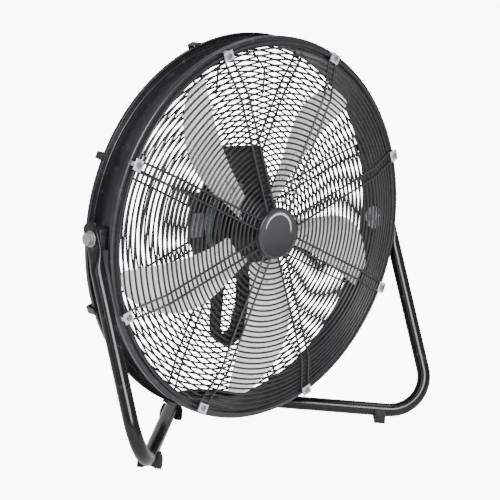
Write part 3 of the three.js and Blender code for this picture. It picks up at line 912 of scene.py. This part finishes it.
BADGE_FACE, BADGE_BACK = -26.3, -19.5
ARC_RADIUS, ARC_RISE, ARC_FROM, ARC_SWING = 24.5, 4, 172, 180
ARC_STEPS = 40


def badge():
    """A round cap with a raised rim, and a thin bright zinc arc over its top half, thickest at the top: a
    painted highlight where a glossy raised bead would catch the light. A round cap with a raised rim and
    a plain arc in place of any lettering.
    """
    profile = [(0, BADGE_FACE), (30.6, BADGE_FACE), (31.6, -26.6), (32.6, -27.0), (35.0, -27.1)]
    profile += [(36.3, BADGE_FACE), (36.8, -25.0), (36.8, BADGE_BACK), (0, BADGE_BACK)]
    cap = Shape().turned(profile, 96)
    cap.build("hub_cap", BADGE, "head", "black_plastic", "hub_badge", sharp=50)
    # Painted highlight: a bright zinc crescent on the black cap, widest at the top and tapering towards 9 and
    # 3 o'clock.
    arc, sizes = [], []
    for k in range(ARC_STEPS + 1):
        angle = math.radians(ARC_FROM - ARC_SWING * k / ARC_STEPS)
        arc.append((ARC_RADIUS * math.cos(angle), BADGE_FACE, ARC_RISE + ARC_RADIUS * math.sin(angle)))
        sizes.append((0.4, 0.4 + 1.3 * math.sin(math.pi * k / ARC_STEPS) ** 0.7, 1))
    highlight_arc = Shape().sweep(arc, sizes, 12, side=Vector((0, 1, 0)))
    highlight_arc.build("hub_cap_painted_highlight", ZINC, "head", "black_plastic")


# ---------------------------------------------------------------- rotor

BLADE_ROOT, BLADE_TIP = 50, 244
BLADE_DEPTH = 16.7
BLADES, FIRST_BLADE = 5, 55
ROOT_PITCH, PITCH_LOSS, BLADE_BOW = 33, 28, 5
BLADE_SHEET, BLADE_COLUMNS, BLADE_ROWS = 1.8, 36, 44
CREASE_DEPTH, CREASE_WIDTH, CREASE_SHARE = 1.1, 2.4, 0.36
CREASE_START, CREASE_END = 70, 228
ARM_MIDDLE, ARM_HALF, ARM_START, ARM_END = 13, 14, 38, 104
RIVET_PLACES = ((62, 13), (80, 6), (80, 20), (97, 13))
LEADING_EDGE = (36, 29, 142, -207)
TRAILING_EDGE = (9.5, -37, 101, -38)


def blade_span(radius):
    """How far a blade reaches to either side of its radius, each edge a cubic in its length."""
    share = (radius - BLADE_ROOT) / (BLADE_TIP - BLADE_ROOT)
    low = -sum(factor * share**power for power, factor in enumerate(TRAILING_EDGE))
    high = sum(factor * share**power for power, factor in enumerate(LEADING_EDGE))
    return low, high


def blade_angle(index):
    return FIRST_BLADE + 360 / BLADES * index


def blade_point(across, radius, lift, angle):
    """A place on a pitched and bowed blade; across is measured round the axis from the blade's radius."""
    share = (radius - BLADE_ROOT) / (BLADE_TIP - BLADE_ROOT)
    pitch = math.radians(ROOT_PITCH - PITCH_LOSS * share)
    low, high = blade_span(radius)
    bow = BLADE_BOW * (1 - ((2 * across - low - high) / (high - low)) ** 2) + lift
    around = across * math.cos(pitch) + bow * math.sin(pitch)
    depth = BLADE_DEPTH - across * math.sin(pitch) + bow * math.cos(pitch)
    turn = math.radians(angle) + around / radius
    return (radius * math.cos(turn), depth, radius * math.sin(turn))


def corner_cut(across, half, radius):
    """How far a rounded corner pulls the end back."""
    past = abs(across) - (half - radius)
    if past <= 0:
        return 0
    return radius - math.sqrt(max(0, radius * radius - past * past))


def sheet(place, columns, rows, thickness):
    """A curved sheet. place(u, v, lift) gives its points, u and v running from 0 to 1."""
    made = Shape()
    wide, high = columns + 1, rows + 1
    for lift in (-thickness / 2, thickness / 2):
        made.points += [Vector(place(i / columns, j / rows, lift)) for j in range(high) for i in range(wide)]
    shift = wide * high
    for j in range(rows):
        for i in range(columns):
            a = j * wide + i
            made.faces.append([a, a + 1, a + 1 + wide, a + wide])
            made.faces.append([shift + a, shift + a + wide, shift + a + 1 + wide, shift + a + 1])
    rim = [*range(columns)] + [columns + j * wide for j in range(rows)]
    rim += [rows * wide + columns - i for i in range(columns)] + [(rows - j) * wide for j in range(rows)]
    for a, b in zip(rim, rim[1:] + rim[:1]):
        made.faces.append([a, shift + a, shift + b, b])
    return made


def blade(index):
    """A thin blade with rounded corners and a pressed crease along it; its mesh is finest at the edges."""

    def place(u, v, lift):
        u = 0.5 - 0.5 * math.cos(math.pi * u)
        v = 0.5 - 0.5 * math.cos(math.pi * v)
        share = u * 2 - 1
        near = BLADE_ROOT + corner_cut(share * 22, 22, 8)
        far = BLADE_TIP - corner_cut(share * 18, 18, 7)
        radius = near + (far - near) * v
        low, high = blade_span(radius)
        across = low + (high - low) * u
        fade = min(1, max(0, (radius - CREASE_START) / 30)) * min(1, max(0, (CREASE_END - radius) / 20))
        from_crease = (across - low - CREASE_SHARE * (high - low)) / CREASE_WIDTH
        crease = -CREASE_DEPTH * math.exp(-(from_crease**2)) * fade
        return blade_point(across, radius, lift + crease, blade_angle(index))

    made = sheet(place, BLADE_COLUMNS, BLADE_ROWS, BLADE_SHEET)
    name = f"blade_{index + 1}"
    return made.build(f"fan_{name}", ALLOY, "rotor", "blade_metal", name, sharp=40)


def rivets(index):
    """Domed rivets through a blade into its arm."""
    made = Shape()
    for radius, across in RIVET_PLACES:
        base = Vector(blade_point(across, radius, -0.8, blade_angle(index)))
        out = (base - Vector(blade_point(across, radius, 4, blade_angle(index)))).normalized()
        turn = Vector((0, -1, 0)).rotation_difference(out).to_matrix().to_4x4()
        dome = Shape().turned([(0, 0), (3.4, 0), (3.3, -0.5), (2.5, -1.2), (1.3, -1.6), (0, -1.7)], 20)
        made.join(dome, Matrix.Translation(base) @ turn)
    return made.build(f"rivets_{index + 1}", RIVET, "rotor", "blade_metal")


def spider():
    """A pressed disc with a boss and an arm behind each blade."""
    made = Shape().turned(rounded([(6.3, 19.2, 0.3), (46, 19.2, 1), (46, 22.3, 1), (6.3, 22.3, 0.3)], 3), 96)
    made.turned(rounded([(6.3, 8, 0.3), (14, 8, 1), (14, 33, 1), (6.3, 33, 0.3)], 3), 48)
    made.turned([(28, 18.6), (40, 18.6), (41, 19.4), (27, 19.4)], 96)
    for index in range(BLADES):

        def place(u, v, lift):
            share = u * 2 - 1
            far = ARM_END - corner_cut(share * ARM_HALF, ARM_HALF, 8)
            radius = ARM_START + (far - ARM_START) * v
            return blade_point(ARM_MIDDLE + share * ARM_HALF, radius, 2.5 + lift, blade_angle(index))

        made.join(sheet(place, 12, 16, 2.2))
    return made.build("blade_hub", PAINT, "rotor", "black_paint", "blade_spider", sharp=40)


def shaft():
    """The motor's shaft and the nut that holds the spider on it."""
    turned = Shape().turned(rounded([(0, -4, 0), (6, -4, 1), (6, 97, 1), (0, 97, 0)], 2), 40)
    turned.build("motor_shaft", STEEL, "rotor", "steel", "shaft")
    nut = faced_back(hexagon(9.5, 1, 7.7), 8.7)
    nut.build("shaft_nut", ZINC, "rotor", "zinc", "hub_nut")


# ---------------------------------------------------------------- motor and controls


FRONT_RIBS, REAR_RIBS, BELL_SCREWS = 12, 30, 4
STACK_INSIDE, STACK_FRONT, STACK_LENGTH, SHEETS = 37.5, 50.3, 15.9, 16
PLATE_RADIUS, PLATE_FRONT, PLATE_BACK = 85, 66.5, 68.5
PLATE_EAR_X, PLATE_EAR_Z, PLATE_EAR_RADIUS = 34, 100, 12


def front_bell():
    made = Shape().turned(rounded([
        (12, 39.5, 0.4), (20, 39.5, 0.6), (21, 40.6, 0.6), (45, 40.6, 1), (46, 39.5, 0.8), (49, 39.5, 2),
        (58, 43.5, 3), (58, 50, 0.6), (54, 50, 0.4), (54, 46, 2), (47, 42.9, 1), (16, 42.9, 0.5),
        (16, 47, 0.4), (12, 47, 0.4),
    ], 3), 96)
    for k in range(FRONT_RIBS):
        rib = Shape().block((21, 39.7, -1.1), (45.5, 41.5, 1.1), 0.4, 2)
        made.join(rib, on_drum(360 / FRONT_RIBS * (k + 0.5)))
    for k in range(BELL_SCREWS):
        head = Shape().join(screw(3.4, 2.2), Matrix.Translation((0, 42, 0)))
        made.join(head, on_drum(90 * k + 45, 0, 52.5))
    made.build("motor_front_cover", MOTOR, "head", "black_paint", "motor_front_bell")


def laminations():
    """The stator's stacked sheets, with a fine step between them."""
    outline = [(STACK_INSIDE, STACK_FRONT)]
    for k in range(SHEETS):
        y = STACK_FRONT + k * STACK_LENGTH / SHEETS
        outline += [(57, y), (57, y + 0.7), (56.6, y + 0.8), (56.6, y + 0.95)]
    outline.append((STACK_INSIDE, STACK_FRONT + STACK_LENGTH))
    Shape().turned(outline, 96).build("laminations", STACK, "head", "steel", "stator_stack")


def mounting_plate():
    """A round plate with two rounded ears at its top, four bolts and a blank label."""
    loop = []
    for k in range(49):
        angle = math.radians(35 - 250 * k / 48)
        loop.append((PLATE_RADIUS * math.cos(angle), PLATE_RADIUS * math.sin(angle)))
    for centre, start, end in ((-PLATE_EAR_X, 160, 90), (PLATE_EAR_X, 90, 20)):
        for k in range(7):
            angle = math.radians(start + (end - start) * k / 6)
            x = centre + PLATE_EAR_RADIUS * math.cos(angle)
            loop.append((x, PLATE_EAR_Z + PLATE_EAR_RADIUS * math.sin(angle)))
    plate = Shape().plate([loop, circle(38.5)], PLATE_FRONT, PLATE_BACK, 0.6)
    for k in range(BELL_SCREWS):
        bolt = faced_back(hexagon(4.6, 0, 3.4), 66.6)
        plate.join(bolt, on_drum(90 * k + 45, 0, 70))
    plate.build("mounting_plate", PAINT, "head", "black_paint", "motor_plate")
    label = Shape().block((-81, 66.2, -18), (-60, 66.6, 17), 0.15, 1)
    label.build("blank_label", LABEL, "head", "steel")


def rear_bell():
    made = Shape().turned(rounded([
        (54, 68.8, 0.4), (58, 68.8, 0.6), (58, 91, 3), (50, 98, 3), (12, 98, 0.5), (12, 89, 0.4),
        (16, 89, 0.4), (16, 94.5, 0.5), (48, 94.5, 1), (54, 90, 1),
    ], 4), 96)
    for k in range(REAR_RIBS):
        rib = Shape().block((56.5, 71, -1.0), (58.9, 87, 1.0), 0.5, 2)
        made.join(rib, on_drum(360 / REAR_RIBS * (k + 0.5)))
    made.build("motor_rear_cover", MOTOR, "head", "black_paint", "motor_rear_bell")


HOUSING_FRONT, HOUSING_BACK, HOUSING_X, HOUSING_Z = 98.3, 118, 46, 38
KNOB_POSITIONS, KNOB_STEP = 4, 45
GRIP_RIBS, GRIP_RADIUS = 36, 18.9


def capacitor_cover():
    box = Shape().block((-33, 50, 62), (33, 66.2, 104), 2.4, 3)
    for x in (-26, 26):
        box.join(screw(3.2, 1.4), Matrix.Translation((x, 50.2, 98)))
    box.build("capacitor_cover", PLASTIC, "head", "black_plastic", "capacitor_box")


def switch_box():
    """The switch housing with a parting line, its lid screws and a tick for each knob position."""
    x, z = HOUSING_X, HOUSING_Z
    housing = Shape().block((-x, HOUSING_FRONT, -z), (x, HOUSING_BACK, z), 3.4, 4)
    housing.block((-x, 99.8, -z), (x, 100.6, z), 0.2, 1)
    turn_back = Matrix.Rotation(math.pi, 4, "Z")
    for x in (-38.5, 38.5):
        for z in (-30.5, 30.5):
            head = Shape().join(screw(3.4, 1.6), turn_back)
            housing.join(head, Matrix.Translation((x, 117.8, z)))
    for k in range(KNOB_POSITIONS):
        tick = Shape().block((-0.8, 117.6, 22), (0.8, 118.25, 27), 0.2, 1)
        housing.join(tick, Matrix.Rotation(-math.radians(KNOB_STEP * k), 4, "Y"))
    housing.build("switch_box", PLASTIC, "head", "black_plastic", "switch_housing")


def knob():
    """The speed knob with a grip bar, a ribbed skirt and a pointer line."""
    skirt = rounded([
        (0, 118.3, 0), (19, 118.3, 0.6), (19, 122, 1), (16.4, 122, 0.4), (15, 127, 1.2), (0, 127, 0),
    ], 3)
    made = Shape().turned(skirt, 72)
    made.turned([(0, 113), (4.2, 113), (4.2, 120), (0, 120)], 24)
    made.block((-3, 123, -15.5), (3, 133, 15.5), 1.3, 3)
    for k in range(GRIP_RIBS):
        angle = 2 * math.pi * k / GRIP_RIBS
        x, z = GRIP_RADIUS * math.cos(angle), GRIP_RADIUS * math.sin(angle)
        made.block((x - 0.5, 118.8, z - 0.5), (x + 0.5, 121.4, z + 0.5), 0.25, 1)
    made.build("control_knob", PLASTIC, "knob", "black_plastic", "speed_knob")
    mark = Shape().block((-0.6, 132.7, 4), (0.6, 133.15, 14.6), 0.15, 1)
    mark.build("knob_pointer", MARK, "knob", "black_plastic")


# ---------------------------------------------------------------- everything built


stand()
feet()
pivots()
drum()
front_guard()
rear_guard()
for clip in range(SPOKES):
    front_clip(clip)
    rear_clip(clip)
badge()
for number in range(BLADES):
    blade(number)
    rivets(number)
spider()
shaft()
front_bell()
laminations()
mounting_plate()
rear_bell()
capacitor_cover()
switch_box()
knob()

for name, finish, slot in (
    ("bearing_front", STEEL, "steel"),
    ("bearing_rear", STEEL, "steel"),
    ("rotor_core", STACK, "steel"),
    ("capacitor", PLASTIC, "black_plastic"),
    ("rotary_switch", PLASTIC, "black_plastic"),
):
    inner = frame["nodes"][name]
    inner.data.materials.clear()
    inner.data.materials.append(finish)
    edge = inner.modifiers.new("edge", "BEVEL")
    edge.width = 0.4 * MM
    edge.segments = 2


# ---------------------------------------------------------------- floor and light


FLOOR_HALF = 30
FLOOR_LIGHT, FLOOR_SEEN = 0.2, 9.5
WORLD_LIGHT, WORLD_SEEN = 0.6, 10.5
LIGHT_TARGET = Vector((0, 0, 0.3))


def area_light(name, place, size, power):
    """A soft lamp in the row's frame, in metres, facing the fan."""
    lamp = bpy.data.lights.new(name, "AREA")
    lamp.shape = "RECTANGLE"
    lamp.size, lamp.size_y = size
    lamp.energy = power
    holder = bpy.data.objects.new(name, lamp)
    holder.location = place
    holder.rotation_euler = (LIGHT_TARGET - Vector(place)).to_track_quat("-Z", "Y").to_euler()
    bpy.context.scene.collection.objects.link(holder)


def brighten(tree, socket, lighting, seen):
    """One strength for the light that falls on the fan and another for what the camera sees."""
    ray = tree.nodes.new("ShaderNodeLightPath")
    level = tree.nodes.new("ShaderNodeMapRange")
    level.inputs["To Min"].default_value = lighting
    level.inputs["To Max"].default_value = seen
    tree.links.new(ray.outputs["Is Camera Ray"], level.inputs["Value"])
    tree.links.new(level.outputs["Result"], socket)


def studio():
    """A pale sweep under and behind the fan with soft lights round it."""
    half = FLOOR_HALF
    corners = [(-half, -half, 0), (half, -half, 0), (half, half, 0), (-half, half, 0)]
    mesh = bpy.data.meshes.new("floor")
    mesh.from_pydata(corners, [], [[0, 1, 2, 3]])
    floor = bpy.data.objects.new("floor", mesh)
    pale = material("pale_floor", (0.93, 0.93, 0.93), 0, 0.6, 0.004, 3, 0.02, 20, 0.00001, 300)
    mesh.materials.append(pale)
    glow = pale.node_tree.nodes["Principled BSDF"].inputs
    brighten(pale.node_tree, glow["Emission Strength"], FLOOR_LIGHT, FLOOR_SEEN)
    glow["Emission Color"].default_value = (1, 1, 1, 1)
    bpy.context.scene.collection.objects.link(floor)
    world = bpy.data.worlds.new("surroundings")
    world.use_nodes = True
    surround = world.node_tree.nodes["Background"]
    surround.inputs["Color"].default_value = (1, 1, 1, 1)
    brighten(world.node_tree, surround.inputs["Strength"], WORLD_LIGHT, WORLD_SEEN)
    bpy.context.scene.world = world
    area_light("key", (-1.6, -3.2, 2.2), (1.8, 1.8), 270)
    area_light("side", (-3.0, -0.6, 1.8), (0.8, 2.0), 25)
    area_light("top", (0.6, -0.4, 2.8), (1.6, 1.0), 22)


studio()
